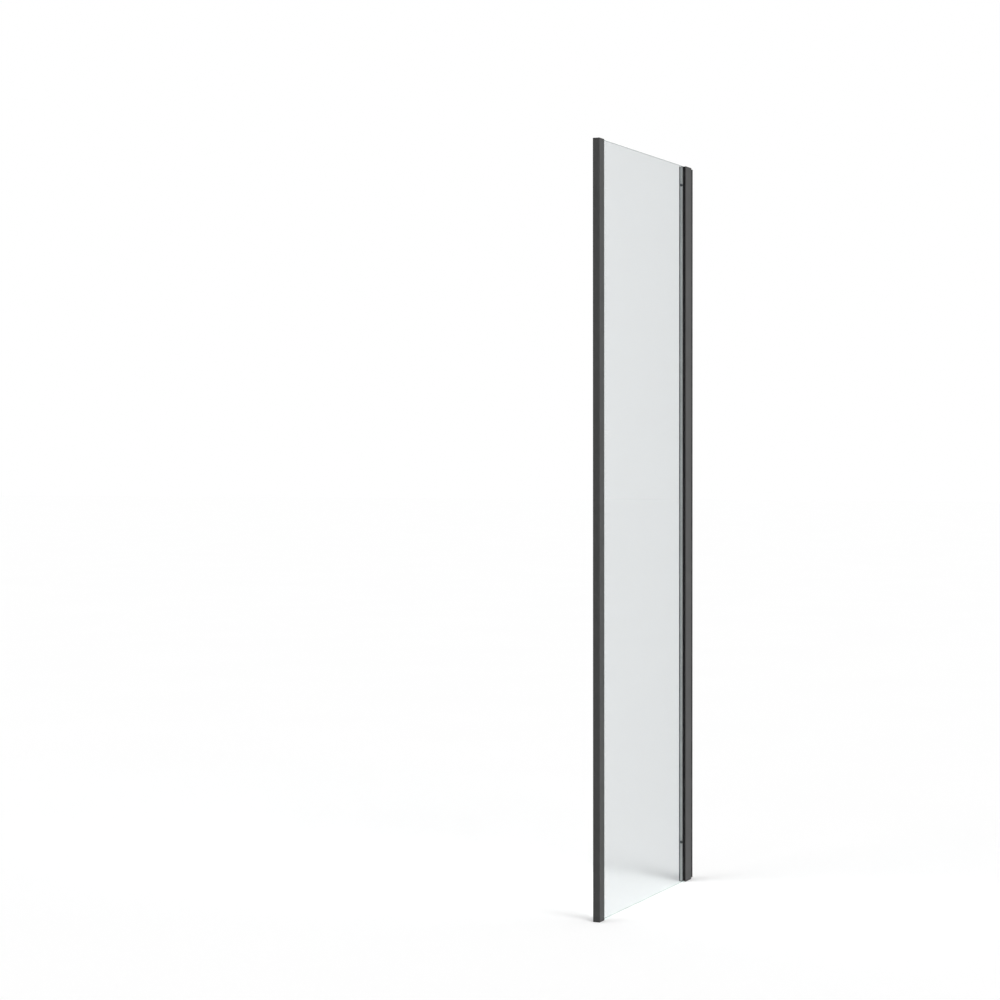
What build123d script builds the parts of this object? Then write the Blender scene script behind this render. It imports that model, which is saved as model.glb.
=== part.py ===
from build123d import *
import os

os.makedirs("parts", exist_ok=True)

# The panel stands upright: +X runs from the door end to the wall, +Y into the shower, +Z up.
# The origin is at the middle of the panel's foot. Sizes are in millimetres.

# Overall size, and the gap between the sliding profile and the flange on the wall
panel_width = 668.0
panel_height = 1950.0
wall_gap = 8.0

# Extruded profiles
cheek_wall = 1.6
web_wall = 1.8
corner_depth = 31.5
sliding_depth = 45.8
corner_radius = 0.6

# Glass and the grooves that hold it
glass_thickness = 6.0
glass_bite = 13.0
groove_depth = 16.0
glass_arris = 0.5
glass_foot_gap = 2.0
glass_top_gap = 1.0

# Glazing gaskets
outer_gasket_thickness = 2.8
inner_gasket_thickness = 6.0
gasket_depth = 9.0
gasket_head = 0.6
gasket_lap = 0.9
gasket_nose = 0.5
gasket_bead = 0.45

# Clear seal on the inner side of the glass, with a flat head over the spindle chamber's end
seal_thickness = 0.8
seal_depth = 12.0
seal_head = 0.8
seal_edge_inset = 3.75
seal_nose = 0.3
seal_notch_gap = 0.15

# Spacers beside the glass edges, and packers under the glass
edge_block_height = 60.0
edge_block_count = 3
edge_block_inset = 200.0
packer_length = 10.0

# Adjusting spindles: plain shoulder, clip groove and shank
top_spindle_drop = 51.0
bottom_spindle_rise = 108.0
spindle_head_radius = 2.7
spindle_head_recess = 0.5
spindle_shank_radius = 2.0
spindle_tip_gap = 7.8
spindle_tip_chamfer = 0.6
spindle_play = 0.1
socket_across_flats = 3.0
socket_depth = 3.5
head_clearance = 1.3
bush_wall = 0.7
bush_flange = 0.35
bush_flange_height = 0.4
washer_thickness = 0.6
clip_groove_depth = 0.4
clip_thickness = 0.8
clip_width = 1.3
clip_opening = 2.8
chamber_wall = 1.2

# Wall channel, which the sliding profile telescopes over
channel_leg = 1.1
channel_base = 2.2
channel_web_gap = 9.7
channel_end_gap = 1.0
slide_gap = 0.25
wall_hole_radius = 2.5
wall_hole_inset = 75.0
wall_hole_count = 4

# Nut blocks in the wall channel
nut_clearance = 0.05
nut_block_length = 18.0
nut_block_height = 30.0
nut_wall_inside = 1.7
nut_wall_outside = 1.5
nut_block_gap = 0.05
nut_screw_radius = 1.5
nut_screw_clearance = 0.1
nut_screw_head_radius = 2.75
nut_screw_head_height = 1.6
nut_screw_length = 6.0
nut_screw_offset = 9.0

# Clip-on cover of the corner profile, and the screw holes behind it
cover_leg = 1.2
cover_leg_depth = 3.7
cover_gap = 0.05
cover_bead = 0.4
post_hole_radius = 2.25
post_hole_inset = 90.0
post_hole_count = 4

# End caps
cap_thickness = 2.5
cap_edge = 0.4
cap_plug_depth = 12.0
cap_plug_gap = 0.1
cap_plug_wall = 1.6

# Places across the panel: y0 is the outer face, then inwards through the glass
spindle_bore_radius = spindle_shank_radius + nut_clearance
head_room = spindle_head_radius + head_clearance
leg_room = spindle_bore_radius + nut_wall_inside + nut_block_gap + channel_leg + slide_gap
groove_outer = cheek_wall
glass_outer = groove_outer + outer_gasket_thickness
glass_inner = glass_outer + glass_thickness
chamber_outer = glass_inner + seal_thickness
chamber_inner = chamber_outer + chamber_wall
sliding_thickness = chamber_inner + head_room + leg_room + cheek_wall
corner_thickness = glass_inner + inner_gasket_thickness + cheek_wall
y0 = -sliding_thickness / 2
spindle_y = y0 + chamber_inner + head_room
bush_bore = spindle_head_radius + spindle_play
bush_flange_radius = bush_bore + bush_wall + bush_flange

# Places along the panel
door_end = -panel_width / 2
wall_plane = panel_width / 2
corner_mouth = door_end + corner_depth
corner_floor = corner_mouth - groove_depth
corner_web = corner_floor - web_wall
channel_back = wall_plane - channel_base
sliding_back = channel_back - wall_gap
sliding_mouth = sliding_back - sliding_depth
sliding_floor = sliding_mouth + groove_depth
sliding_web = sliding_floor + web_wall
channel_front = sliding_web + channel_web_gap

# Places up the panel
profile_foot = cap_thickness
profile_top = panel_height - cap_thickness
glass_foot = glass_foot_gap
glass_top = panel_height - glass_top_gap
spindle_heights = (bottom_spindle_rise, panel_height - top_spindle_drop)


def block(x0, x1, across0, across1, mode=Mode.ADD):
    """Draw a rectangle from x0 to x1, and across the panel between two distances from the outer face."""
    with Locations(((x0 + x1) / 2, y0 + (across0 + across1) / 2)):
        Rectangle(x1 - x0, across1 - across0, mode=mode)


def bead(x, across, radius, mode=Mode.ADD):
    """Draw a round bead, or with Mode.SUBTRACT the groove for one."""
    with Locations((x, y0 + across)):
        Circle(radius, mode=mode)


def outline_corners(x0, x1, across0, across1):
    """The corners of a rectangle, as points to compare vertices with."""
    return [Vector(x, y0 + across, 0) for x in (x0, x1) for across in (across0, across1)]


def round_corners(section, points, radius):
    """Round the vertices of a flat section that lie at the given points."""
    at = [v for v in section.vertices() if any((Vector(v.X, v.Y, 0) - p).length < 0.01 for p in points)]
    fillet(at, radius)


def cap_outline_edges(cap, mouth, floor, slot_edge):
    """The top edges of a cap, but not those of the slot that runs from its mouth in to its floor."""
    across = (y0 + groove_outer - gasket_bead, y0 + slot_edge + gasket_bead)
    along = sorted((mouth, floor))
    edges = cap.faces().sort_by(Axis.Z)[-1].edges()
    return [
        e
        for e in edges
        if abs(e.center().X - mouth) < 0.01
        or not (
            along[0] - 0.01 < e.center().X < along[1] + 0.01
            and across[0] - 0.01 < e.center().Y < across[1] + 0.01
        )
    ]


def spread_up(count, inset):
    """Evenly spaced heights, the first and the last at the same inset from the two ends."""
    step = (panel_height - 2 * inset) / (count - 1)
    return [inset + i * step for i in range(count)]


def save(builder, label):
    """Label a finished piece and write it."""
    builder.part.label = label
    export_step(builder.part, f"parts/{label}.step")


# Glass pane: one sheet between the two grooves, with arrised edges
with BuildPart() as glass_pane:
    with BuildSketch(Plane.XY.offset(glass_foot)):
        block(corner_mouth - glass_bite, sliding_mouth + glass_bite, glass_outer, glass_inner)
    extrude(amount=glass_top - glass_foot)
    chamfer(glass_pane.edges(), glass_arris)
save(glass_pane, "glass_pane")


# Corner profile: glass groove towards the wall, open chamber towards the door end
cover_back = door_end + web_wall
cover_bead_x = cover_back + cover_leg_depth - cover_bead - cover_leg / 2
post_hole_x = (cover_back + cover_leg_depth + corner_web) / 2
with BuildPart() as corner_profile:
    with BuildSketch(Plane.XY.offset(profile_foot)) as corner_section:
        block(cover_back + cover_gap, corner_mouth, 0, corner_thickness)
        block(corner_floor, corner_mouth, groove_outer, corner_thickness - cheek_wall, Mode.SUBTRACT)
        block(cover_back, corner_web, cheek_wall, corner_thickness - cheek_wall, Mode.SUBTRACT)
        bead(cover_bead_x, cheek_wall, cover_bead + cover_gap, Mode.SUBTRACT)
        bead(cover_bead_x, corner_thickness - cheek_wall, cover_bead + cover_gap, Mode.SUBTRACT)
        bead(corner_mouth - gasket_depth / 2, cheek_wall, gasket_bead, Mode.SUBTRACT)
        bead(corner_mouth - gasket_depth / 2, corner_thickness - cheek_wall, gasket_bead, Mode.SUBTRACT)
        round_corners(
            corner_section,
            outline_corners(corner_mouth, corner_mouth, 0, corner_thickness),
            corner_radius,
        )
    extrude(amount=profile_top - profile_foot)
    for height in spread_up(post_hole_count, post_hole_inset):
        with BuildSketch(Plane.XZ.offset(-(y0 + corner_thickness))):
            with Locations((post_hole_x, height)):
                Circle(post_hole_radius)
        extrude(amount=cheek_wall, mode=Mode.SUBTRACT)
save(corner_profile, "corner_profile")


# Corner cover: front strip that snaps into the open chamber of the corner profile
with BuildPart() as corner_cover:
    with BuildSketch(Plane.XY.offset(profile_foot)) as cover_section:
        block(door_end, cover_back, 0, corner_thickness)
        for leg_face, side in ((cheek_wall + cover_gap, 1), (corner_thickness - cheek_wall - cover_gap, -1)):
            leg_edges = sorted((leg_face, leg_face + side * cover_leg))
            block(cover_back, cover_back + cover_leg_depth, *leg_edges)
            bead(cover_bead_x, leg_face, cover_bead)
        round_corners(
            cover_section,
            outline_corners(door_end, door_end, 0, corner_thickness),
            corner_radius,
        )
    extrude(amount=profile_top - profile_foot)
save(corner_cover, "corner_cover")


# Sliding profile: glass groove and spindle chamber side by side, and an open box behind them
with BuildPart() as sliding_profile:
    with BuildSketch(Plane.XY.offset(profile_foot)) as sliding_section:
        block(sliding_mouth, sliding_back, 0, sliding_thickness)
        block(sliding_mouth, sliding_floor, groove_outer, chamber_outer, Mode.SUBTRACT)
        block(
            sliding_mouth + web_wall,
            sliding_floor,
            chamber_inner,
            sliding_thickness - cheek_wall,
            Mode.SUBTRACT,
        )
        block(sliding_web, sliding_back, cheek_wall, sliding_thickness - cheek_wall, Mode.SUBTRACT)
        bead(sliding_mouth + gasket_depth / 2, cheek_wall, gasket_bead, Mode.SUBTRACT)
        round_corners(
            sliding_section,
            outline_corners(sliding_mouth, sliding_back, 0, sliding_thickness),
            corner_radius,
        )
    extrude(amount=profile_top - profile_foot)
    for height in spindle_heights:
        with BuildSketch(Plane.YZ.offset(sliding_mouth)):
            with Locations((spindle_y, height)):
                Circle(bush_bore + bush_wall)
        extrude(amount=web_wall, mode=Mode.SUBTRACT)
        with BuildSketch(Plane.YZ.offset(sliding_floor)):
            with Locations((spindle_y, height)):
                Circle(spindle_shank_radius + spindle_play)
        extrude(amount=web_wall, mode=Mode.SUBTRACT)
save(sliding_profile, "sliding_profile")


# Gaskets: a thick strip with a head that laps over the cheek's end, and a bead in the cheek's groove
def thick_gasket(label, mouth, inward, cheek_face, glass_face):
    """A glazing strip between a cheek and the glass. inward is 1 or -1 along X."""
    side = 1 if glass_face > cheek_face else -1
    head = mouth - inward * gasket_head
    heel = mouth + inward * gasket_depth
    lap_edge = cheek_face - side * gasket_lap
    with BuildPart() as gasket:
        with BuildSketch(Plane.XY.offset(glass_foot)) as section:
            block(*sorted((mouth, heel)), *sorted((cheek_face, glass_face)))
            block(*sorted((head, mouth)), *sorted((lap_edge, glass_face)))
            round_corners(
                section,
                outline_corners(head, head, *sorted((lap_edge, glass_face))),
                gasket_nose,
            )
            bead(mouth + inward * gasket_depth / 2, cheek_face, gasket_bead)
        extrude(amount=glass_top - glass_foot)
    save(gasket, label)
    return gasket


sliding_outer_gasket = thick_gasket("sliding_outer_gasket", sliding_mouth, 1, cheek_wall, glass_outer)
corner_outer_gasket = thick_gasket("corner_outer_gasket", corner_mouth, -1, cheek_wall, glass_outer)
corner_inner_gasket = thick_gasket(
    "corner_inner_gasket", corner_mouth, -1, corner_thickness - cheek_wall, glass_inner
)


# Inner seal at the wall end: a thin strip between the glass and the spindle chamber, with a flat
# head that covers the chamber's end face and is notched round the spindle bushes
seal_front = sliding_mouth - seal_head
seal_edge = sliding_thickness - seal_edge_inset
with BuildPart() as sliding_inner_seal:
    with BuildSketch(Plane.XY.offset(glass_foot)) as seal_section:
        block(sliding_mouth, sliding_mouth + seal_depth, glass_inner, chamber_outer)
        block(seal_front, sliding_mouth, glass_inner, seal_edge)
        round_corners(
            seal_section,
            outline_corners(seal_front, seal_front, glass_inner, seal_edge),
            seal_nose,
        )
    extrude(amount=glass_top - glass_foot)
    for height in spindle_heights:
        with BuildSketch(Plane.YZ.offset(seal_front)):
            with Locations((spindle_y, height)):
                Circle(bush_flange_radius + seal_notch_gap)
        extrude(amount=seal_head, mode=Mode.SUBTRACT)
save(sliding_inner_seal, "sliding_inner_seal")


# Edge blocks: spacers between the glass edges and the floors of the grooves
with BuildPart() as edge_blocks:
    for height in spread_up(edge_block_count, edge_block_inset):
        with BuildSketch(Plane.XY.offset(height - edge_block_height / 2)):
            block(corner_floor, corner_mouth - glass_bite, glass_outer, glass_inner)
            block(sliding_mouth + glass_bite, sliding_floor, glass_outer, glass_inner)
        extrude(amount=edge_block_height)
save(edge_blocks, "edge_blocks")


# Glass packers: pads under the two lower corners of the glass
with BuildPart() as glass_packers:
    with BuildSketch(Plane.XY):
        block(
            corner_mouth - glass_bite,
            corner_mouth - glass_bite + packer_length,
            glass_outer,
            glass_inner,
        )
        block(
            sliding_mouth + glass_bite - packer_length,
            sliding_mouth + glass_bite,
            glass_outer,
            glass_inner,
        )
    extrude(amount=glass_foot_gap)
save(glass_packers, "glass_packers")


# Wall channel: flange on the wall, two legs that the sliding profile runs over, and a rib
outer_leg = cheek_wall + slide_gap
inner_leg = sliding_thickness - cheek_wall - slide_gap - channel_leg
rib = spindle_y - y0 - spindle_bore_radius - nut_wall_outside - nut_block_gap - channel_leg
channel_foot = cap_thickness + channel_end_gap
channel_top = panel_height - cap_thickness - channel_end_gap
wall_hole_across = (outer_leg + channel_leg + rib) / 2
nut_block_front = channel_front
nut_screw_x = nut_block_front + nut_block_length / 2
with BuildPart() as wall_channel:
    with BuildSketch(Plane.XY.offset(channel_foot)) as channel_section:
        block(channel_back, wall_plane, 0, sliding_thickness)
        for face in (outer_leg, rib, inner_leg):
            block(channel_front, channel_back, face, face + channel_leg)
        round_corners(
            channel_section,
            outline_corners(channel_back, wall_plane, 0, sliding_thickness),
            corner_radius,
        )
    extrude(amount=channel_top - channel_foot)
    for height in spread_up(wall_hole_count, wall_hole_inset):
        with BuildSketch(Plane.YZ.offset(channel_back)):
            with Locations((y0 + wall_hole_across, height)):
                Circle(wall_hole_radius)
        extrude(amount=channel_base, mode=Mode.SUBTRACT)
    for height in spindle_heights:
        with BuildSketch(Plane.XZ.offset(-(y0 + rib + channel_leg))):
            with Locations(
                (nut_screw_x, height - nut_screw_offset),
                (nut_screw_x, height + nut_screw_offset),
            ):
                Circle(nut_screw_radius + nut_screw_clearance)
        extrude(amount=channel_leg, mode=Mode.SUBTRACT)
save(wall_channel, "wall_channel")


# Nut blocks: threaded blocks between the channel's rib and its inner leg, one at each spindle
with BuildPart() as nut_blocks:
    for height in spindle_heights:
        with BuildSketch(Plane.XY.offset(height - nut_block_height / 2)):
            block(
                nut_block_front,
                nut_block_front + nut_block_length,
                rib + channel_leg + nut_block_gap,
                inner_leg - nut_block_gap,
            )
        extrude(amount=nut_block_height)
    for height in spindle_heights:
        with BuildSketch(Plane.YZ.offset(nut_block_front)):
            with Locations((spindle_y, height)):
                Circle(spindle_bore_radius)
        extrude(amount=nut_block_length, mode=Mode.SUBTRACT)
        with BuildSketch(Plane.XZ.offset(-(y0 + rib + nut_screw_length))):
            with Locations(
                (nut_screw_x, height - nut_screw_offset),
                (nut_screw_x, height + nut_screw_offset),
            ):
                Circle(nut_screw_radius + nut_clearance)
        extrude(amount=nut_screw_length, mode=Mode.SUBTRACT)
save(nut_blocks, "nut_blocks")


# Nut block screws: pan heads against the rib, threads in the blocks
with BuildPart() as nut_block_screws:
    for height in spindle_heights:
        for z in (height - nut_screw_offset, height + nut_screw_offset):
            with BuildSketch(Plane.XZ.offset(-(y0 + rib))):
                with Locations((nut_screw_x, z)):
                    Circle(nut_screw_head_radius)
            extrude(amount=nut_screw_head_height)
            with BuildSketch(Plane.XZ.offset(-(y0 + rib + nut_screw_length))):
                with Locations((nut_screw_x, z)):
                    Circle(nut_screw_radius)
            extrude(amount=nut_screw_length)
save(nut_block_screws, "nut_block_screws")


# Spindle bushes: flanged plastic rings in the end face, round the spindle heads
with BuildPart() as spindle_bushes:
    for height in spindle_heights:
        with BuildSketch(Plane.YZ.offset(sliding_mouth - bush_flange_height)):
            with Locations((spindle_y, height)):
                Circle(bush_flange_radius)
                Circle(bush_bore, mode=Mode.SUBTRACT)
        extrude(amount=bush_flange_height)
        with BuildSketch(Plane.YZ.offset(sliding_mouth)):
            with Locations((spindle_y, height)):
                Circle(bush_bore + bush_wall)
                Circle(bush_bore, mode=Mode.SUBTRACT)
        extrude(amount=web_wall)
save(spindle_bushes, "spindle_bushes")


# Spindle washers: thrust washers between the spindle shoulders and the web
with BuildPart() as spindle_washers:
    for height in spindle_heights:
        with BuildSketch(Plane.YZ.offset(sliding_floor - washer_thickness)):
            with Locations((spindle_y, height)):
                Circle(spindle_head_radius)
                Circle(spindle_shank_radius + spindle_play, mode=Mode.SUBTRACT)
        extrude(amount=washer_thickness)
save(spindle_washers, "spindle_washers")


# Adjusting spindles: socket head and shoulder in the chamber, shank through the web into the nut block
shoulder = sliding_floor - washer_thickness - spindle_play
clip_front = sliding_web + spindle_play
spindle_tip = channel_back - spindle_tip_gap


def adjusting_spindle(label, height):
    """One spindle, turned about X at the given height."""
    with BuildPart() as spindle:
        with BuildSketch(Plane.YZ.offset(sliding_mouth + spindle_head_recess)):
            with Locations((spindle_y, height)):
                Circle(spindle_head_radius)
        extrude(amount=shoulder - sliding_mouth - spindle_head_recess)
        with BuildSketch(Plane.YZ.offset(shoulder)):
            with Locations((spindle_y, height)):
                Circle(spindle_shank_radius)
        extrude(amount=spindle_tip - shoulder)
        chamfer(spindle.edges().sort_by(Axis.X)[-1], spindle_tip_chamfer)
        with BuildSketch(Plane.YZ.offset(clip_front)):
            with Locations((spindle_y, height)):
                Circle(spindle_shank_radius)
                Circle(spindle_shank_radius - clip_groove_depth, mode=Mode.SUBTRACT)
        extrude(amount=clip_thickness, mode=Mode.SUBTRACT)
        with BuildSketch(Plane.YZ.offset(sliding_mouth + spindle_head_recess)):
            with Locations((spindle_y, height)):
                RegularPolygon(socket_across_flats / 2, 6, major_radius=False)
        extrude(amount=socket_depth, mode=Mode.SUBTRACT)
    save(spindle, label)
    return spindle


adjusting_spindle_bottom = adjusting_spindle("adjusting_spindle_bottom", spindle_heights[0])
adjusting_spindle_top = adjusting_spindle("adjusting_spindle_top", spindle_heights[1])


# Spindle clips: open rings in the grooves of the shanks, behind the web
def spindle_clip(label, height):
    """One open ring at the given height, with its gap towards the glass."""
    inside = spindle_shank_radius - clip_groove_depth
    with BuildPart() as clip:
        with BuildSketch(Plane.YZ.offset(clip_front)):
            with Locations((spindle_y, height)):
                Circle(inside + clip_width)
                Circle(inside, mode=Mode.SUBTRACT)
            with Locations((spindle_y - inside - clip_width, height)):
                Rectangle(2 * inside + clip_width, clip_opening, mode=Mode.SUBTRACT)
        extrude(amount=clip_thickness)
    save(clip, label)
    return clip


spindle_clip_bottom = spindle_clip("spindle_clip_bottom", spindle_heights[0])
spindle_clip_top = spindle_clip("spindle_clip_top", spindle_heights[1])


# End caps: plates over the profile ends, open where the glass stands, with hollow plugs below them
with BuildPart() as sliding_top_cap:
    with BuildSketch(Plane.XY.offset(profile_top)) as sliding_cap_section:
        block(sliding_mouth, sliding_back, 0, sliding_thickness)
        block(sliding_mouth, sliding_floor, groove_outer, chamber_outer, Mode.SUBTRACT)
        bead(sliding_mouth + gasket_depth / 2, cheek_wall, gasket_bead, Mode.SUBTRACT)
        round_corners(
            sliding_cap_section,
            outline_corners(sliding_mouth, sliding_back, 0, sliding_thickness),
            corner_radius,
        )
    extrude(amount=cap_thickness)
    chamfer(cap_outline_edges(sliding_top_cap, sliding_mouth, sliding_floor, chamber_outer), cap_edge)
    with BuildSketch(Plane.XY.offset(profile_top)):
        plug = (
            sliding_mouth + web_wall + cap_plug_gap,
            sliding_floor - cap_plug_gap,
            chamber_inner + cap_plug_gap,
            sliding_thickness - cheek_wall - cap_plug_gap,
        )
        block(*plug)
        block(
            plug[0] + cap_plug_wall,
            plug[1] - cap_plug_wall,
            plug[2] + cap_plug_wall,
            plug[3] - cap_plug_wall,
            Mode.SUBTRACT,
        )
    extrude(amount=-cap_plug_depth)
save(sliding_top_cap, "sliding_top_cap")

with BuildPart() as corner_top_cap:
    with BuildSketch(Plane.XY.offset(profile_top)) as corner_cap_section:
        block(door_end, corner_mouth, 0, corner_thickness)
        block(corner_floor, corner_mouth, groove_outer, corner_thickness - cheek_wall, Mode.SUBTRACT)
        bead(corner_mouth - gasket_depth / 2, cheek_wall, gasket_bead, Mode.SUBTRACT)
        bead(corner_mouth - gasket_depth / 2, corner_thickness - cheek_wall, gasket_bead, Mode.SUBTRACT)
        round_corners(
            corner_cap_section,
            outline_corners(door_end, corner_mouth, 0, corner_thickness),
            corner_radius,
        )
    extrude(amount=cap_thickness)
    corner_slot_edge = corner_thickness - cheek_wall
    chamfer(cap_outline_edges(corner_top_cap, corner_mouth, corner_floor, corner_slot_edge), cap_edge)
    with BuildSketch(Plane.XY.offset(profile_top)):
        leg_inside = cheek_wall + cover_gap + cover_leg + cap_plug_gap
        plug = (
            cover_back + cap_plug_gap,
            corner_web - cap_plug_gap,
            leg_inside,
            corner_thickness - leg_inside,
        )
        block(*plug)
        block(
            plug[0] + cap_plug_wall,
            plug[1] - cap_plug_wall,
            plug[2] + cap_plug_wall,
            plug[3] - cap_plug_wall,
            Mode.SUBTRACT,
        )
    extrude(amount=-cap_plug_depth)
save(corner_top_cap, "corner_top_cap")

# The caps at the foot mirror the ones at the top
mid_height = Plane.XY.offset(panel_height / 2)
with BuildPart() as sliding_bottom_cap:
    mirror(sliding_top_cap.part, about=mid_height)
save(sliding_bottom_cap, "sliding_bottom_cap")

with BuildPart() as corner_bottom_cap:
    mirror(corner_top_cap.part, about=mid_height)
save(corner_bottom_cap, "corner_bottom_cap")
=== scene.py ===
import math

import bmesh
import bpy
from mathutils import Matrix, Vector


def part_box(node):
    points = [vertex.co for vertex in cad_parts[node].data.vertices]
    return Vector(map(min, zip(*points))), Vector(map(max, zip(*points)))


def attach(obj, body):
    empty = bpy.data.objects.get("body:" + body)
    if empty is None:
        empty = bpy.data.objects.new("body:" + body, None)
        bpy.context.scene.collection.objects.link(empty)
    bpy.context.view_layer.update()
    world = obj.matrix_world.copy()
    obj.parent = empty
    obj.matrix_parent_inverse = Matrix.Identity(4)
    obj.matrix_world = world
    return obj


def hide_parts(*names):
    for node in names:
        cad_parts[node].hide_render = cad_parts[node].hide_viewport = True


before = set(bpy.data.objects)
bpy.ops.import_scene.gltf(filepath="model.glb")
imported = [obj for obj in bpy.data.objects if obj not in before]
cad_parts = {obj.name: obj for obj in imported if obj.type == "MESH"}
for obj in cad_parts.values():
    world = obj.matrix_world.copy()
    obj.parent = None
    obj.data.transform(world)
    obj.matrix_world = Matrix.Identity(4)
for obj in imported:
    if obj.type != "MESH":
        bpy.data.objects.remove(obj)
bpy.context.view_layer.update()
scene = bpy.context.scene
mm = 0.001


# Wall channel: the aluminium extrusion that is screwed to the wall before the panel is hung.
# Extruded, drilled, then powder coated matt black. The coat has a fine orange peel, lies a little
# uneven from hand to hand, and is thinner and a touch brighter where it runs over sharp edges.
coat_colour = (0.030, 0.0305, 0.0305, 1)
coat_rubbed_colour = (0.075, 0.076, 0.077, 1)
coat_roughness = 0.47
coat_speckle = 0.10
coat_edge_radius = 0.45 * mm
coat_peel_size = 1.1 * mm
coat_peel_height = 0.030 * mm
coat_grit_size = 0.28 * mm
coat_grit_height = 0.012 * mm
coat_patch_size = 0.16


def shader_node(tree, kind, **settings):
    """A new shader node of the given kind, with its settings."""
    made = tree.nodes.new("ShaderNode" + kind)
    for key, value in settings.items():
        setattr(made, key, value)
    return made


def feed(tree, socket, value):
    """Give an input a plain value, or link it to another node's output."""
    if isinstance(value, bpy.types.NodeSocket):
        tree.links.new(value, socket)
    else:
        socket.default_value = value


def maths(tree, operation, *values, clamp=False):
    """The result of one sum on numbers or outputs."""
    made = shader_node(tree, "Math", operation=operation, use_clamp=clamp)
    for socket, value in zip(made.inputs, values):
        feed(tree, socket, value)
    return made.outputs[0]


def noise(tree, vector, scale, detail=2.0):
    """Cloudy noise from 0 to 1."""
    made = shader_node(tree, "TexNoise")
    feed(tree, made.inputs["Vector"], vector)
    feed(tree, made.inputs["Scale"], scale)
    made.inputs["Detail"].default_value = detail
    return made.outputs[0]


def between(tree, low, high, share):
    """A colour between two others."""
    made = shader_node(tree, "Mix", data_type="RGBA")
    feed(tree, made.inputs["Factor"], share)
    feed(tree, made.inputs["A"], low)
    feed(tree, made.inputs["B"], high)
    return made.outputs["Result"]


def toned(tree, colour, tone):
    """A colour made lighter or darker by a tone that varies about 1."""
    made = shader_node(tree, "Mix", data_type="RGBA", blend_type="MULTIPLY")
    made.inputs["Factor"].default_value = 1.0
    made.inputs["A"].default_value = colour
    feed(tree, made.inputs["B"], tone)
    return made.outputs["Result"]


def shader_group(name, inputs, outputs):
    """An empty shader group with named number inputs, and outputs of the given kinds."""
    group = bpy.data.node_groups.new(name, "ShaderNodeTree")
    for label, start in inputs.items():
        socket = group.interface.new_socket(label, in_out="INPUT", socket_type="NodeSocketFloat")
        socket.default_value = start
    for label, kind in outputs.items():
        group.interface.new_socket(label, in_out="OUTPUT", socket_type="NodeSocket" + kind)
    return group, group.nodes.new("NodeGroupInput").outputs, group.nodes.new("NodeGroupOutput").inputs


def use_group(tree, group, **values):
    """Place a group with its own values, and return its outputs."""
    placed = shader_node(tree, "Group", node_tree=group)
    for label, value in values.items():
        feed(tree, placed.inputs[label.replace("_", " ").title()], value)
    return placed.outputs


def new_finish(name):
    """A new material, its node tree and its shader."""
    finish = bpy.data.materials.new(name)
    finish.use_nodes = True
    return finish, finish.node_tree, finish.node_tree.nodes["Principled BSDF"]


def bump(tree, height, distance, strength, normal=None):
    """A normal that follows a height. The distance is the height's full swing, in metres."""
    made = shader_node(tree, "Bump")
    made.inputs["Distance"].default_value = distance
    made.inputs["Strength"].default_value = strength
    feed(tree, made.inputs["Height"], height)
    if normal is not None:
        feed(tree, made.inputs["Normal"], normal)
    return made.outputs["Normal"]


def dress(node_name, finish):
    """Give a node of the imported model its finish."""
    node_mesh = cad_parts[node_name].data
    node_mesh.materials.clear()
    node_mesh.materials.append(finish)


# Slow drift: tone and gloss that wander a little from hand to hand, as on any made surface
gloss_patches_per_tone_patch = 2.7
slow_drift, given, out = shader_group(
    "slow_drift",
    {"Patch Size": 0.1, "Tone Spread": 0.1, "Gloss Spread": 0.03},
    {"Tone": "Float", "Gloss": "Float"},
)
here = shader_node(slow_drift, "TexCoord").outputs["Object"]
patches_per_metre = maths(slow_drift, "DIVIDE", 1.0, given["Patch Size"])
tone_cloud = maths(slow_drift, "SUBTRACT", noise(slow_drift, here, patches_per_metre, detail=4.0), 0.5)
tone_swing = maths(slow_drift, "MULTIPLY", tone_cloud, given["Tone Spread"])
feed(slow_drift, out["Tone"], maths(slow_drift, "MULTIPLY_ADD", tone_swing, 2.0, 1.0))
finer_patches = maths(slow_drift, "MULTIPLY", patches_per_metre, gloss_patches_per_tone_patch)
gloss_cloud = maths(slow_drift, "SUBTRACT", noise(slow_drift, here, finer_patches, detail=5.0), 0.5)
feed(slow_drift, out["Gloss"], maths(slow_drift, "MULTIPLY", gloss_cloud, given["Gloss Spread"]))

# Fine grain: the small relief of a coat or a moulded skin, which can be drawn out along the length
fine_grain, given, out = shader_group(
    "fine_grain",
    {"Grain Size": 0.001, "Draw Out": 1.0},
    {"Height": "Float"},
)
here = shader_node(fine_grain, "TexCoord").outputs["Object"]
apart = shader_node(fine_grain, "SeparateXYZ")
feed(fine_grain, apart.inputs[0], here)
together = shader_node(fine_grain, "CombineXYZ")
feed(fine_grain, together.inputs["X"], apart.outputs["X"])
feed(fine_grain, together.inputs["Y"], apart.outputs["Y"])
feed(fine_grain, together.inputs["Z"], maths(fine_grain, "DIVIDE", apart.outputs["Z"], given["Draw Out"]))
grains_per_metre = maths(fine_grain, "DIVIDE", 1.0, given["Grain Size"])
feed(fine_grain, out["Height"], noise(fine_grain, together.outputs[0], grains_per_metre))

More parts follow.
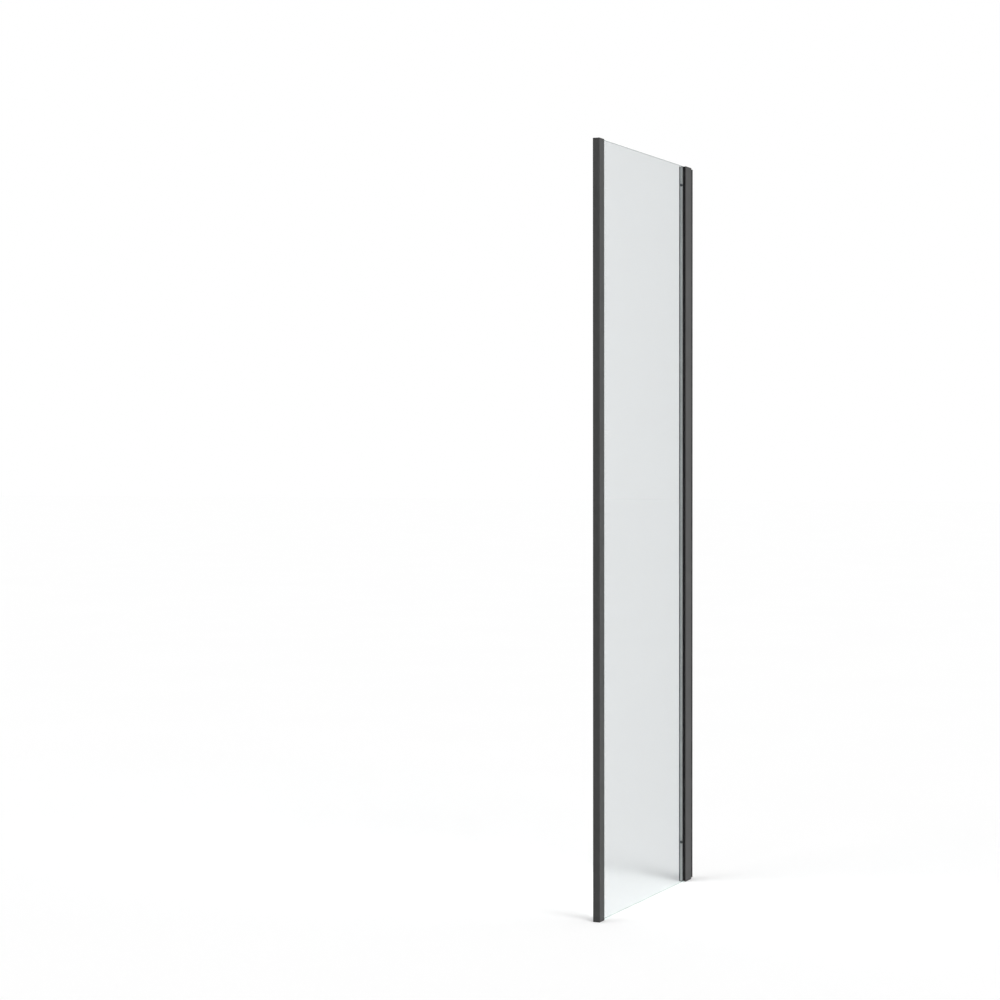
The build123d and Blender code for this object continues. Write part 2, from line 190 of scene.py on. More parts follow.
# Rubbed edge: a mask along sharp edges, broken up by grain, and the softened normal of that edge
worn_patches_per_metre = 220.0
edge_gain = 5.0
rubbed_edge, given, out = shader_group(
    "rubbed_edge",
    {"Edge Radius": 0.0005, "Wear": 1.0},
    {"Edge": "Float", "Normal": "Vector"},
)
soft = shader_node(rubbed_edge, "Bevel", samples=4)
feed(rubbed_edge, soft.inputs["Radius"], given["Edge Radius"])
straight = shader_node(rubbed_edge, "NewGeometry").outputs["Normal"]
meeting = shader_node(rubbed_edge, "VectorMath", operation="DOT_PRODUCT")
feed(rubbed_edge, meeting.inputs[0], soft.outputs["Normal"])
feed(rubbed_edge, meeting.inputs[1], straight)
turned_away = maths(rubbed_edge, "SUBTRACT", 1.0, meeting.outputs["Value"])
here = shader_node(rubbed_edge, "TexCoord").outputs["Object"]
worn_cloud = noise(rubbed_edge, here, worn_patches_per_metre, detail=3.0)
worn = maths(rubbed_edge, "MULTIPLY", worn_cloud, given["Wear"])
worn = maths(rubbed_edge, "MULTIPLY", worn, edge_gain)
bared = maths(rubbed_edge, "MULTIPLY", turned_away, worn, clamp=True)
feed(rubbed_edge, out["Edge"], bared)
feed(rubbed_edge, out["Normal"], soft.outputs["Normal"])

powder_coat, tree, shader = new_finish("matt_black_powder_coat")
drift = use_group(tree, slow_drift, patch_size=coat_patch_size, tone_spread=0.16, gloss_spread=0.10)
peel = use_group(tree, fine_grain, grain_size=coat_peel_size, draw_out=1.0)
grit = use_group(tree, fine_grain, grain_size=coat_grit_size, draw_out=1.0)
edge = use_group(tree, rubbed_edge, edge_radius=coat_edge_radius, wear=0.7)
coat_tone = toned(tree, coat_colour, drift["Tone"])
feed(tree, shader.inputs["Base Color"], between(tree, coat_tone, coat_rubbed_colour, edge["Edge"]))
speckled = maths(tree, "MULTIPLY_ADD", grit["Height"], coat_speckle, coat_roughness - coat_speckle / 2)
feed(tree, shader.inputs["Roughness"], maths(tree, "ADD", speckled, drift["Gloss"]))
relief = bump(tree, peel["Height"], coat_peel_height, strength=0.55, normal=edge["Normal"])
relief = bump(tree, grit["Height"], coat_grit_height, strength=0.6, normal=relief)
feed(tree, shader.inputs["Normal"], relief)
shader.inputs["Specular IOR Level"].default_value = 0.32
dress("wall_channel", powder_coat)


# Nut blocks: two brass blocks, sawn from bar, drilled and tapped, one behind each spindle.
# Each lies between the rib and the inner leg of the wall channel, held there by two screws.
brass_colour = (0.60, 0.41, 0.16, 1)
brass_dull_colour = (0.36, 0.24, 0.10, 1)
brass_dulls_from = 0.6
brass_roughness = 0.34
brass, tree, shader = new_finish("machined_brass")
drift = use_group(tree, slow_drift, patch_size=9 * mm, tone_spread=0.5, gloss_spread=0.12)
mill_marks = use_group(tree, fine_grain, grain_size=0.18 * mm, draw_out=14.0)
edge = use_group(tree, rubbed_edge, edge_radius=0.25 * mm, wear=0.5)
dulled = maths(tree, "SUBTRACT", drift["Tone"], brass_dulls_from, clamp=True)
feed(tree, shader.inputs["Base Color"], between(tree, brass_colour, brass_dull_colour, dulled))
feed(tree, shader.inputs["Roughness"], maths(tree, "ADD", brass_roughness, drift["Gloss"]))
relief = bump(tree, mill_marks["Height"], 0.010 * mm, strength=0.5, normal=edge["Normal"])
feed(tree, shader.inputs["Normal"], relief)
shader.inputs["Metallic"].default_value = 1.0
dress("nut_blocks", brass)


# Nut block screws: M3 pan heads with a six-lobed recess, cold headed and rolled in stainless
# steel. They pass through the channel's rib, two at each spindle, and bite in the brass.
steel_colour = (0.56, 0.56, 0.55, 1)
steel_roughness = 0.30
screw_head_radius = 2.75 * mm
screw_head_height = 1.6 * mm
screw_radius = 1.5 * mm
screw_pitch = 0.5 * mm
screw_thread_start = 0.4 * mm
screw_thread_depth = 0.29 * mm
screw_tip = 0.5 * mm
screw_spread = 9.0 * mm
lobe_count = 6
lobe_swell = 0.16
recess_radius = 1.15 * mm
recess_rim_radius = 1.45 * mm
recess_rim_depth = 0.12 * mm
recess_depth = 1.0 * mm
recess_point_radius = 0.3 * mm
recess_point_height = 0.15 * mm
thread_flank = 1.7
thread_root_width = 0.3
dome_steps = 6
dome_lean = math.radians(72)
dome_skirt = 0.35 * mm
round_segments = 36
rings_per_pitch = 6


def turned(bm, stations, place, looped=False):
    """Skin a turned shape about X. A station is (x, radius), and its radius may be a function of x and
    the angle. The two ends are closed, or with looped the last station meets the first."""
    rings = []
    for along, radius in stations:
        ring = []
        for i in range(round_segments):
            angle = math.tau * i / round_segments
            r = radius(along, angle) if callable(radius) else radius
            ring.append(bm.verts.new(place @ Vector((along, r * math.cos(angle), r * math.sin(angle)))))
        rings.append(ring)
    pairs = list(zip(rings, rings[1:]))
    if looped:
        pairs.append((rings[-1], rings[0]))
    else:
        bm.faces.new(rings[0])
        bm.faces.new(rings[-1])
    for near, far in pairs:
        for i in range(round_segments):
            j = (i + 1) % round_segments
            bm.faces.new((near[i], near[j], far[j], far[i]))


def screw_thread(start, end, pitch, crest, depth, lead_in, tip):
    """Stations along a right-hand thread that fades in at its start and is chamfered at its tip."""
    root = crest - depth

    def radius(along, angle):
        turn = (along / pitch - angle / math.tau) % 1.0
        ridge = thread_flank * (1.0 - abs(2.0 * turn - 1.0)) - thread_root_width
        ridge = min(1.0, max(0.0, ridge))
        cut = min(1.0, (along - start) / lead_in)
        plain = crest - (1.0 - ridge) * depth * cut
        return min(plain, root + max(0.0, end - along) * (crest - root) / tip)

    count = round((end - start) / pitch * rings_per_pitch)
    return [(start + (end - start) * i / count, radius) for i in range(count + 1)]


def finished_piece(name, bm, finish, body, slot_name, *cad_nodes, sharp_angle=32):
    """Make a piece from its skin, give it its finish, and put it on its body in place of CAD nodes."""
    bmesh.ops.recalc_face_normals(bm, faces=bm.faces)
    mesh = bpy.data.meshes.new(name)
    bm.to_mesh(mesh)
    bm.free()
    mesh.shade_smooth()
    mesh.set_sharp_from_angle(angle=math.radians(sharp_angle))
    mesh.materials.append(finish)
    piece = bpy.data.objects.new(name, mesh)
    scene.collection.objects.link(piece)
    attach(piece, body)
    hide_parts(*cad_nodes)


stainless, tree, shader = new_finish("stainless_steel")
drift = use_group(tree, slow_drift, patch_size=4 * mm, tone_spread=0.25, gloss_spread=0.16)
rolled = use_group(tree, fine_grain, grain_size=0.12 * mm, draw_out=6.0)
feed(tree, shader.inputs["Base Color"], toned(tree, steel_colour, drift["Tone"]))
feed(tree, shader.inputs["Roughness"], maths(tree, "ADD", steel_roughness, drift["Gloss"]))
feed(tree, shader.inputs["Normal"], bump(tree, rolled["Height"], 0.006 * mm, strength=0.4))
shader.inputs["Metallic"].default_value = 1.0

screws_low, screws_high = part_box("nut_block_screws")
screw_x = (screws_low.x + screws_high.x) / 2
rib_face_y = screws_low.y + screw_head_height
screw_length = screws_high.y - rib_face_y
spindle_boxes = {level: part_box("adjusting_spindle_" + level) for level in ("bottom", "top")}
spindle_centres = {
    level: Vector((low.x, (low.y + high.y) / 2, (low.z + high.z) / 2))
    for level, (low, high) in spindle_boxes.items()
}


def six_lobes(along, angle):
    """The recess of a screw head, six rounded lobes."""
    return recess_radius * (1.0 + lobe_swell * math.cos(lobe_count * angle))


screw_stations = [
    (-recess_point_height, recess_point_radius),
    (-screw_head_height + recess_depth, six_lobes),
    (-screw_head_height + recess_rim_depth, six_lobes),
    (-screw_head_height, recess_rim_radius),
]
dome_height = screw_head_height - dome_skirt
dome_width = screw_head_radius - recess_rim_radius
for step in range(1, dome_steps + 1):
    lean = dome_lean * step / dome_steps
    dome_x = -screw_head_height + dome_height * (1 - math.cos(lean)) / (1 - math.cos(dome_lean))
    dome_radius = recess_rim_radius + dome_width * math.sin(lean) / math.sin(dome_lean)
    screw_stations.append((dome_x, dome_radius))
screw_stations += [(0.0, screw_head_radius), (0.0, screw_radius)]
screw_stations += screw_thread(
    start=screw_thread_start,
    end=screw_length,
    pitch=screw_pitch,
    crest=screw_radius,
    depth=screw_thread_depth,
    lead_in=screw_pitch,
    tip=screw_tip,
)
bm = bmesh.new()
for centre in spindle_centres.values():
    for side in (-1, 1):
        spot = Vector((screw_x, rib_face_y, centre.z + side * screw_spread))
        turned(bm, screw_stations, Matrix.Translation(spot) @ Matrix.Rotation(math.pi / 2, 4, "Z"))
finished_piece("block_screws", bm, stainless, "wall_side", "steel", "nut_block_screws")


# Sliding profile: the deeper aluminium extrusion that holds the pane at the wall end. It runs
# over the wall channel, and has the spindle chamber beside its glass groove. Same coat as the channel.
dress("sliding_profile", powder_coat)


# Spindle bushes: two flanged rings of black nylon, pressed into the end face round the spindle
# heads. Injection moulded, with a fine spark-eroded grain and softened rims.
plastic_colour = (0.019, 0.0192, 0.0195, 1)
plastic_edge_colour = (0.045, 0.045, 0.046, 1)
plastic_roughness = 0.52
bush_bore = 2.8 * mm
bush_outside = 3.5 * mm
bush_flange_radius = 3.85 * mm
bush_flange_height = 0.4 * mm
bush_rim = 0.14 * mm

moulded_plastic, tree, shader = new_finish("moulded_black_plastic")
drift = use_group(tree, slow_drift, patch_size=22 * mm, tone_spread=0.14, gloss_spread=0.08)
grain = use_group(tree, fine_grain, grain_size=0.22 * mm, draw_out=1.0)
edge = use_group(tree, rubbed_edge, edge_radius=0.3 * mm, wear=0.35)
plastic_tone = toned(tree, plastic_colour, drift["Tone"])
feed(tree, shader.inputs["Base Color"], between(tree, plastic_tone, plastic_edge_colour, edge["Edge"]))
feed(tree, shader.inputs["Roughness"], maths(tree, "ADD", plastic_roughness, drift["Gloss"]))
relief = bump(tree, grain["Height"], 0.016 * mm, strength=0.6, normal=edge["Normal"])
feed(tree, shader.inputs["Normal"], relief)
shader.inputs["Specular IOR Level"].default_value = 0.28

bushes_low, bushes_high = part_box("spindle_bushes")
bush_length = bushes_high.x - bushes_low.x
bush_stations = [
    (0.0, bush_bore + bush_rim),
    (0.0, bush_flange_radius - bush_rim),
    (bush_rim, bush_flange_radius),
    (bush_flange_height, bush_flange_radius),
    (bush_flange_height, bush_outside),
    (bush_length, bush_outside),
    (bush_length, bush_bore),
    (bush_rim, bush_bore),
]
bm = bmesh.new()
for centre in spindle_centres.values():
    turned(bm, bush_stations, Matrix.Translation((bushes_low.x, centre.y, centre.z)), looped=True)
finished_piece("head_bushes", bm, moulded_plastic, "panel", "black_plastic", "spindle_bushes")


# Spindle washers: two thrust washers, stamped from stainless sheet, one under each spindle's
# shoulder. They take the push of the panel as the spindle turns.
washer_bore = 2.1 * mm
washer_radius = 2.7 * mm
washer_break = 0.08 * mm
washers_low, washers_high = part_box("spindle_washers")
washer_thickness = washers_high.x - washers_low.x
washer_stations = [
    (0.0, washer_bore),
    (0.0, washer_radius - washer_break),
    (washer_break, washer_radius),
    (washer_thickness - washer_break, washer_radius),
    (washer_thickness, washer_radius - washer_break),
    (washer_thickness, washer_bore),
]
bm = bmesh.new()
for centre in spindle_centres.values():
    turned(bm, washer_stations, Matrix.Translation((washers_low.x, centre.y, centre.z)), looped=True)
finished_piece("thrust_washers", bm, stainless, "panel", "steel", "spindle_washers")


# Adjusting spindles: turned from stainless bar, with a 3 mm hexagon socket, a plain shoulder, a
# clip groove and a rolled M4 thread, then blackened. Crests and rims rub a little lighter.
blackened_colour = (0.014, 0.014, 0.015, 1)
blackened_rubbed_colour = (0.16, 0.16, 0.165, 1)
blackened_roughness = 0.40
socket_across_flats = 3.0 * mm
socket_depth = 3.5 * mm
socket_rim_radius = 1.95 * mm
socket_rim_depth = 0.3 * mm
socket_point_radius = 0.25 * mm
socket_point_depth = 0.5 * mm
spindle_head_radius = 2.7 * mm
spindle_head_length = 14.8 * mm
spindle_shank_radius = 2.0 * mm
spindle_rim = 0.3 * mm
clip_groove_start = 17.4 * mm
clip_groove_width = 0.8 * mm
clip_groove_depth = 0.4 * mm
spindle_thread_start = 19.0 * mm
spindle_pitch = 0.7 * mm
spindle_thread_depth = 0.42 * mm
spindle_tip = 0.6 * mm

blackened_steel, tree, shader = new_finish("blackened_steel")
drift = use_group(tree, slow_drift, patch_size=5 * mm, tone_spread=0.4, gloss_spread=0.14)
lathe_marks = use_group(tree, fine_grain, grain_size=0.09 * mm, draw_out=1.0)
edge = use_group(tree, rubbed_edge, edge_radius=0.10 * mm, wear=0.6)
black_tone = toned(tree, blackened_colour, drift["Tone"])
feed(tree, shader.inputs["Base Color"], between(tree, black_tone, blackened_rubbed_colour, edge["Edge"]))
feed(tree, shader.inputs["Roughness"], maths(tree, "ADD", blackened_roughness, drift["Gloss"]))
relief = bump(tree, lathe_marks["Height"], 0.004 * mm, strength=0.5, normal=edge["Normal"])
feed(tree, shader.inputs["Normal"], relief)
shader.inputs["Metallic"].default_value = 1.0


def hexagon_socket(along, angle):
    """The six flats of the socket."""
    return socket_across_flats / 2 / math.cos(angle % (math.pi / 3) - math.pi / 6)


spindle_length = spindle_boxes["top"][1].x - spindle_boxes["top"][0].x
spindle_stations = [
    (socket_depth + socket_point_depth, socket_point_radius),
    (socket_depth, hexagon_socket),
    (socket_rim_depth, hexagon_socket),
    (0.0, socket_rim_radius),
    (0.0, spindle_head_radius - spindle_rim),
    (spindle_rim, spindle_head_radius),
    (spindle_head_length - spindle_rim, spindle_head_radius),
    (spindle_head_length, spindle_head_radius - spindle_rim),
    (spindle_head_length, spindle_shank_radius),
    (clip_groove_start, spindle_shank_radius),
    (clip_groove_start, spindle_shank_radius - clip_groove_depth),
    (clip_groove_start + clip_groove_width, spindle_shank_radius - clip_groove_depth),
    (clip_groove_start + clip_groove_width, spindle_shank_radius),
]
spindle_stations += screw_thread(
    start=spindle_thread_start,
    end=spindle_length,
    pitch=spindle_pitch,
    crest=spindle_shank_radius,
    depth=spindle_thread_depth,
    lead_in=2 * spindle_pitch,
    tip=spindle_tip,
)
for level, centre in spindle_centres.items():
    bm = bmesh.new()
    turned(bm, spindle_stations, Matrix.Translation(centre))
    finished_piece(
        "screw_spindle_" + level,
        bm,
        blackened_steel,
        "spindle_" + level,
        "black_steel",
        "adjusting_spindle_" + level,
        sharp_angle=26,
    )


# Spindle clips: open E-rings, blanked from spring steel and snapped into the grooves of the
# spindles behind the web. Three prongs grip the groove, and the gap faces the glass.
clip_outside = 2.9 * mm
clip_grip = 1.6 * mm
clip_relief = 2.15 * mm
clip_half_opening = 1.4 * mm
middle_prong_end = 0.14
side_prong_start = 0.84
clip_steps = 40


def clip_edge_points(radius_of, reach):
    """Points along one edge of the ring, from one side of its gap round to the other."""
    points = []
    for i in range(clip_steps + 1):
        share = 2 * i / clip_steps - 1
        radius = radius_of(abs(share))
        angle = share * reach
        points.append(Vector((0, radius * math.cos(angle), radius * math.sin(angle))))
    return points


def clip_inside(share):
    """The inner edge of the ring: on the groove at three prongs, and clear of it between them."""
    return clip_grip if share < middle_prong_end or share > side_prong_start else clip_relief


outer_reach = math.pi - math.asin(clip_half_opening / clip_outside)
inner_reach = math.pi - math.asin(clip_half_opening / clip_grip)
for level, centre in spindle_centres.items():
    clip_low, clip_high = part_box("spindle_clip_" + level)
    bm = bmesh.new()
    sides = []
    for x in (clip_low.x, clip_high.x):
        spot = Vector((x, centre.y, centre.z))
        outer = [bm.verts.new(spot + p) for p in clip_edge_points(lambda share: clip_outside, outer_reach)]
        inner = [bm.verts.new(spot + p) for p in clip_edge_points(clip_inside, inner_reach)]
        sides.append((outer, inner))
    (outer_near, inner_near), (outer_far, inner_far) = sides
    for i in range(clip_steps):
        bm.faces.new((outer_near[i], outer_near[i + 1], inner_near[i + 1], inner_near[i]))
        bm.faces.new((outer_far[i], outer_far[i + 1], inner_far[i + 1], inner_far[i]))
        bm.faces.new((outer_near[i], outer_near[i + 1], outer_far[i + 1], outer_far[i]))
        bm.faces.new((inner_near[i], inner_near[i + 1], inner_far[i + 1], inner_far[i]))
    for end in (0, clip_steps):
        bm.faces.new((outer_near[end], inner_near[end], inner_far[end], outer_far[end]))
    finished_piece(
        "e_ring_" + level, bm, stainless, "spindle_" + level, "steel", "spindle_clip_" + level
    )


# Glass pane: 6 mm toughened clear float glass over the full height. The faces carry the faint
# roller wave of toughening, and the smooth ground edges are a little matt and show its green.
pane_colour = (0.985, 1.0, 1.0, 1)
pane_edge_colour = (0.42, 0.60, 0.54, 1)
pane_shade_colour = (0.955, 0.965, 0.965, 1)
ground_edge_colour = (0.34, 0.56, 0.49, 1)
edge_haze = 0.4
edge_roughness = 0.16
glass_index = 1.52
roller_wave_pitch = 0.18
roller_wave_height = 0.05 * mm
facing_out = 0.9


def blended(tree, share, first, second):
    """A blend of two shader nodes."""
    made = shader_node(tree, "MixShader")
    feed(tree, made.inputs["Fac"], share)
    tree.links.new(first.outputs[0], made.inputs[1])
    tree.links.new(second.outputs[0], made.inputs[2])
    return made


clear_glass, tree, shader = new_finish("clear_float_glass")
facing = shader_node(tree, "SeparateXYZ")
feed(tree, facing.inputs[0], shader_node(tree, "TexCoord").outputs["Normal"])
flat_on = maths(tree, "ABSOLUTE", facing.outputs["Y"])
at_edge = maths(tree, "LESS_THAN", flat_on, facing_out)
feed(tree, shader.inputs["Base Color"], between(tree, pane_colour, pane_edge_colour, at_edge))
ground = use_group(tree, fine_grain, grain_size=0.5 * mm, draw_out=1.0)
edge_grain = maths(tree, "MULTIPLY", ground["Height"], edge_roughness)
feed(tree, shader.inputs["Roughness"], maths(tree, "MULTIPLY", at_edge, edge_grain))
roller_wave = use_group(tree, fine_grain, grain_size=roller_wave_pitch, draw_out=0.6)
feed(tree, shader.inputs["Normal"], bump(tree, roller_wave["Height"], roller_wave_height, strength=0.35))
shader.inputs["Transmission Weight"].default_value = 1.0
shader.inputs["IOR"].default_value = glass_index
ground_edge = shader_node(tree, "BsdfDiffuse")
ground_edge.inputs["Color"].default_value = ground_edge_colour
let_through = shader_node(tree, "BsdfTransparent")
let_through.inputs["Color"].default_value = pane_shade_colour
pane = blended(tree, maths(tree, "MULTIPLY", at_edge, edge_haze), shader, ground_edge)
pane = blended(tree, shader_node(tree, "LightPath").outputs["Is Shadow Ray"], pane, let_through)
feed(tree, tree.nodes["Material Output"].inputs["Surface"], pane.outputs[0])
dress("glass_pane", clear_glass)


# Edge blocks and glass packers: spacers of frosted clear plastic, cut from extruded strip. The
# blocks keep the pane's edges off the groove floors, and the packers keep its foot off the tray.
frosted_colour = (0.80, 0.83, 0.83, 1)
frosted_roughness = 0.42
frosted_clearness = 0.55
frosted_index = 1.49
frosted_plastic, tree, shader = new_finish("frosted_clear_plastic")
drift = use_group(tree, slow_drift, patch_size=7 * mm, tone_spread=0.10, gloss_spread=0.15)
frost = use_group(tree, fine_grain, grain_size=0.15 * mm, draw_out=8.0)
feed(tree, shader.inputs["Base Color"], toned(tree, frosted_colour, drift["Tone"]))
feed(tree, shader.inputs["Roughness"], maths(tree, "ADD", frosted_roughness, drift["Gloss"]))
feed(tree, shader.inputs["Normal"], bump(tree, frost["Height"], 0.015 * mm, strength=0.5))
shader.inputs["Transmission Weight"].default_value = frosted_clearness
shader.inputs["IOR"].default_value = frosted_index
dress("edge_blocks", frosted_plastic)
dress("glass_packers", frosted_plastic)


# Glazing gaskets: three black rubber strips, extruded and pressed in beside the glass. Each has a
# head that laps over the cheek's end, a bead in the cheek's groove and ribs against the glass.
rubber_colour = (0.0060, 0.0060, 0.0062, 1)
rubber_roughness = 0.78
gasket_head = 0.6 * mm
gasket_lap = 0.9 * mm
gasket_bead = 0.45 * mm
gasket_nose = 0.5 * mm
gasket_heel = 0.3 * mm
gasket_rib_start = 1.0 * mm
gasket_rib_count = 4
gasket_rib_height = 0.7 * mm
gasket_rib_slope = 0.62
gasket_rib_crest = 0.80
nose_steps = 5

rubber, tree, shader = new_finish("extruded_rubber")
drift = use_group(tree, slow_drift, patch_size=45 * mm, tone_spread=0.35, gloss_spread=0.10)
drawn = use_group(tree, fine_grain, grain_size=0.16 * mm, draw_out=60.0)
pores = use_group(tree, fine_grain, grain_size=0.10 * mm, draw_out=1.0)
feed(tree, shader.inputs["Base Color"], toned(tree, rubber_colour, drift["Tone"]))
feed(tree, shader.inputs["Roughness"], maths(tree, "ADD", rubber_roughness, drift["Gloss"]))
relief = bump(tree, drawn["Height"], 0.020 * mm, strength=0.6)
relief = bump(tree, pores["Height"], 0.008 * mm, strength=0.5, normal=relief)
feed(tree, shader.inputs["Normal"], relief)
shader.inputs["Specular IOR Level"].default_value = 0.2


def round_nose(centre, radius, start, end):
    """Points along an arc in a section, from one angle to another, in degrees."""
    points = []
    for i in range(nose_steps + 1):
        angle = math.radians(start + (end - start) * i / nose_steps)
        points.append((centre[0] + radius * math.cos(angle), centre[1] + radius * math.sin(angle)))
    return points


def gasket_section(depth, thickness):
    """The section of a gasket: inwards from the cheek's end, and across from the cheek to the glass."""
    nose_x = -gasket_head + gasket_nose
    points = round_nose((nose_x, thickness - gasket_nose), gasket_nose, 180, 90)
    rib_pitch = (depth - gasket_rib_start) / gasket_rib_count
    for i in range(gasket_rib_count):
        rib = gasket_rib_start + i * rib_pitch
        points += [
            (rib, thickness - gasket_rib_height),
            (rib + gasket_rib_slope * rib_pitch, thickness),
            (rib + gasket_rib_crest * rib_pitch, thickness),
        ]
    points += [(depth, thickness - gasket_rib_height), (depth, gasket_heel), (depth - gasket_heel, 0.0)]
    points += round_nose((depth / 2, 0.0), gasket_bead, 0, -180)
    points += [(0.0, 0.0), (0.0, -gasket_lap)]
    points += round_nose((nose_x, -gasket_lap + gasket_nose), gasket_nose, 270, 180)
    return points


def extrude_strip(bm, section, place_point, foot, top):
    """A strip with one section from foot to top, its ends cut square."""
    lower = [bm.verts.new((*place_point(u, v), foot)) for u, v in section]
    upper = [bm.verts.new((*place_point(u, v), top)) for u, v in section]
    for i in range(len(section)):
        j = (i + 1) % len(section)
        bm.faces.new((lower[i], lower[j], upper[j], upper[i]))
    ends = [bm.faces.new(lower), bm.faces.new(upper)]
    bmesh.ops.triangulate(bm, faces=ends)


# Which way is inwards along X, and on which side of the cheek the glass lies
gaskets = {
    "sliding_outer_gasket": (1, 1),
    "corner_outer_gasket": (-1, 1),
    "corner_inner_gasket": (-1, -1),
}
for node_name, (inwards, towards_glass) in gaskets.items():
    low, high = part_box(node_name)
    mouth = (low.x if inwards > 0 else high.x) + inwards * gasket_head
    cheek = (low.y if towards_glass > 0 else high.y) + towards_glass * gasket_lap
    section = gasket_section(high.x - low.x - gasket_head, high.y - low.y - gasket_lap)
    bm = bmesh.new()
    extrude_strip(
        bm,
        section,
        lambda u, v: (mouth + inwards * u, cheek + towards_glass * v),
        low.z,
        high.z,
    )
    finished_piece(node_name + "_strip", bm, rubber, "panel", "black_rubber", node_name)


# Inner seal: a soft strip extruded in two parts, a black leg and lip beside the glass, and a cloudy
# translucent band over the spindle chamber's end face, notched round the two bushes. It is drawn
# out in faint lines along its length.
seal_band_colour = (0.34, 0.357, 0.353, 1)
seal_leg_colour = (0.012, 0.012, 0.0125, 1)
seal_head = 0.8 * mm
seal_band_width = 6.8 * mm
seal_roughness = 0.42
soft_seal, tree, shader = new_finish("two_part_soft_seal")
drift = use_group(tree, slow_drift, patch_size=60 * mm, tone_spread=0.12, gloss_spread=0.12)
drawn = use_group(tree, fine_grain, grain_size=0.35 * mm, draw_out=90.0)
seal_low, seal_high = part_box("sliding_inner_seal")
place = shader_node(tree, "SeparateXYZ")
feed(tree, place.inputs[0], shader_node(tree, "TexCoord").outputs["Object"])
in_groove = maths(tree, "GREATER_THAN", place.outputs["X"], seal_low.x + seal_head)
beside_glass = maths(tree, "LESS_THAN", place.outputs["Y"], seal_high.y - seal_band_width)
black_part = maths(tree, "MAXIMUM", in_groove, beside_glass)
band_tone = toned(tree, seal_band_colour, drift["Tone"])
feed(tree, shader.inputs["Base Color"], between(tree, band_tone, seal_leg_colour, black_part))
feed(tree, shader.inputs["Roughness"], maths(tree, "ADD", seal_roughness, drift["Gloss"]))
feed(tree, shader.inputs["Normal"], bump(tree, drawn["Height"], 0.025 * mm, strength=0.6))
shader.inputs["Specular IOR Level"].default_value = 0.4
dress("sliding_inner_seal", soft_seal)


# Corner profile and its cover: the slim extrusion that holds the pane at the door end, screwed to
# the door's post, and the strip that snaps over the screws. Both have the same coat as the rest.
dress("corner_profile", powder_coat)
dress("corner_cover", powder_coat)


# End caps: four moulded plates that close the ends of the two profiles, slotted for the glass and
# held by hollow plugs. Same grained black plastic as the bushes.
for profile in ("sliding", "corner"):
    for end in ("top", "bottom"):
        dress(f"{profile}_{end}_cap", moulded_plastic)


# Studio: a pale floor and a white surround. Seen straight on, in gloss or through the glass they
# are plain white, and the floor still darkens where the panel takes the lamps' light.
scene.view_settings.view_transform = "Standard"
floor_half = 60.0
floor_drop = 0.3 * mm
floor_colour = (0.86, 0.86, 0.86, 1)
floor_glow = 0.12
surround_light = 0.55
surround_seen = 1.0


def seen_or_mirrored(tree):
    """1 for rays from the camera, in gloss and through glass, and 0 for rays that light things."""
    path = shader_node(tree, "LightPath").outputs
    straight_or_gloss = maths(tree, "MAXIMUM", path["Is Camera Ray"], path["Is Glossy Ray"])
    return maths(tree, "MAXIMUM", straight_or_gloss, path["Is Transmission Ray"])


def stage_sheet(name, corners, finish):
    """A flat piece of the studio between four corners."""
    bm = bmesh.new()
    bm.faces.new([bm.verts.new(corner) for corner in corners])
    mesh = bpy.data.meshes.new(name)
    bm.to_mesh(mesh)
    bm.free()
    mesh.materials.append(finish)
    sheet = bpy.data.objects.new(name, mesh)
    scene.collection.objects.link(sheet)


floor_paint, tree, shader = new_finish("studio_floor_paint")
drift = use_group(tree, slow_drift, patch_size=0.8, tone_spread=0.01, gloss_spread=0.05)
feed(tree, shader.inputs["Base Color"], toned(tree, floor_colour, drift["Tone"]))
shader.inputs["Roughness"].default_value = 0.95
shader.inputs["Specular IOR Level"].default_value = 0.0
shader.inputs["Emission Color"].default_value = (1, 1, 1, 1)
feed(tree, shader.inputs["Emission Strength"], maths(tree, "MULTIPLY", seen_or_mirrored(tree), floor_glow))
square = ((-1, -1), (1, -1), (1, 1), (-1, 1))
floor_corners = [(sx * floor_half, sy * floor_half, -floor_drop) for sx, sy in square]
stage_sheet("studio_floor", floor_corners, floor_paint)

world = bpy.data.worlds.new("studio_surround")
world.use_nodes = True
scene.world = world
surround = world.node_tree.nodes["Background"]
surround.inputs["Color"].default_value = (1, 1, 1, 1)
tree = world.node_tree
level = maths(tree, "MULTIPLY_ADD", seen_or_mirrored(tree), surround_seen - surround_light, surround_light)
feed(tree, surround.inputs["Strength"], level)


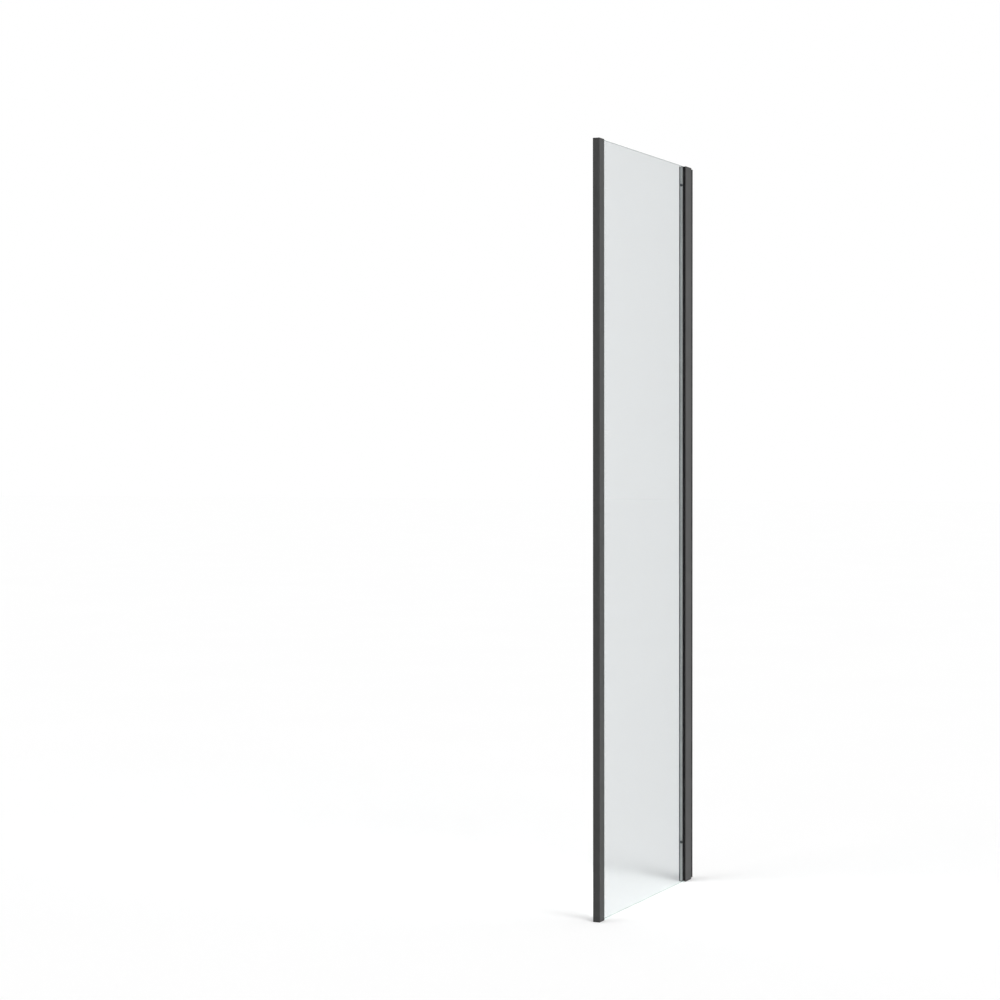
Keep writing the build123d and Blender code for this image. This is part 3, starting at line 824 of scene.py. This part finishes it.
# Dim cards: a dark blue-grey card beside each face of the pane. They are hidden from the camera, the lamps
# and all other light. Only the pane's own mirror image shows them, so they paint a dim reflection into the
# glass and it stays clear.
painted_reflection_colour = (0.20, 0.235, 0.26, 1)
card_distance = 14 * mm
card_half_width = 0.5
card_height = 2.4
painted_reflection_paint, tree, shader = new_finish("painted_reflection_card_paint")
shader.inputs["Base Color"].default_value = painted_reflection_colour
shader.inputs["Roughness"].default_value = 0.9
shader.inputs["Specular IOR Level"].default_value = 0.0
path = shader_node(tree, "LightPath").outputs
# Painted reflection: only singular mirror rays that have bounced off the glass see the card's dark colour.
# Every other ray passes through it.
mirrored = maths(tree, "MINIMUM", path["Glossy Depth"], path["Is Singular Ray"])
shown = maths(tree, "MULTIPLY", mirrored, maths(tree, "SUBTRACT", 1.0, path["Is Shadow Ray"]))
card = blended(tree, shown, shader_node(tree, "BsdfTransparent"), shader)
feed(tree, tree.nodes["Material Output"].inputs["Surface"], card.outputs[0])
for side_name, y in (("outer", -card_distance), ("inner", card_distance)):
    card_corners = [(sx * card_half_width, y, max(0, sz) * card_height) for sx, sz in square]
    stage_sheet(f"{side_name}_card", card_corners, painted_reflection_paint)


# Lamps: two broad, even lamps far off, one over the camera's shoulder and a weaker one from the
# other side, so that the floor is lit alike all over and the shadows at the foot stay soft.
lamps = {
    "key_lamp": ((-0.45, -0.72, 0.80), 1.45, 32),
    "fill_lamp": ((-0.70, 0.60, 0.75), 0.75, 45),
}
for lamp_name, (towards_lamp, strength, spread) in lamps.items():
    lamp = bpy.data.lights.new(lamp_name, "SUN")
    lamp.energy = strength
    lamp.angle = math.radians(spread)
    lamp_object = bpy.data.objects.new(lamp_name, lamp)
    lamp_object.rotation_euler = Vector(towards_lamp).to_track_quat("Z", "Y").to_euler()
    scene.collection.objects.link(lamp_object)


# Camera: outside the shower at chest height, with a long lens turned 25 degrees off the panel's
# plane, so that the pane, right of the middle, is seen at a grazing angle of about 22 degrees.
camera_data = bpy.data.cameras.new("camera")
camera_data.lens = 82.73
camera_data.sensor_width = 36.0
camera = bpy.data.objects.new("camera", camera_data)
camera.location = (-5.609, -2.1935, 1.1465)
camera_heading = math.radians(24.953)
camera_dip = math.radians(0.945)
camera_roll = math.radians(-0.059)
camera.rotation_euler = (math.pi / 2 - camera_dip, 0, camera_heading - math.pi / 2)
camera.rotation_euler.rotate_axis("Z", camera_roll)
scene.collection.objects.link(camera)
scene.camera = camera
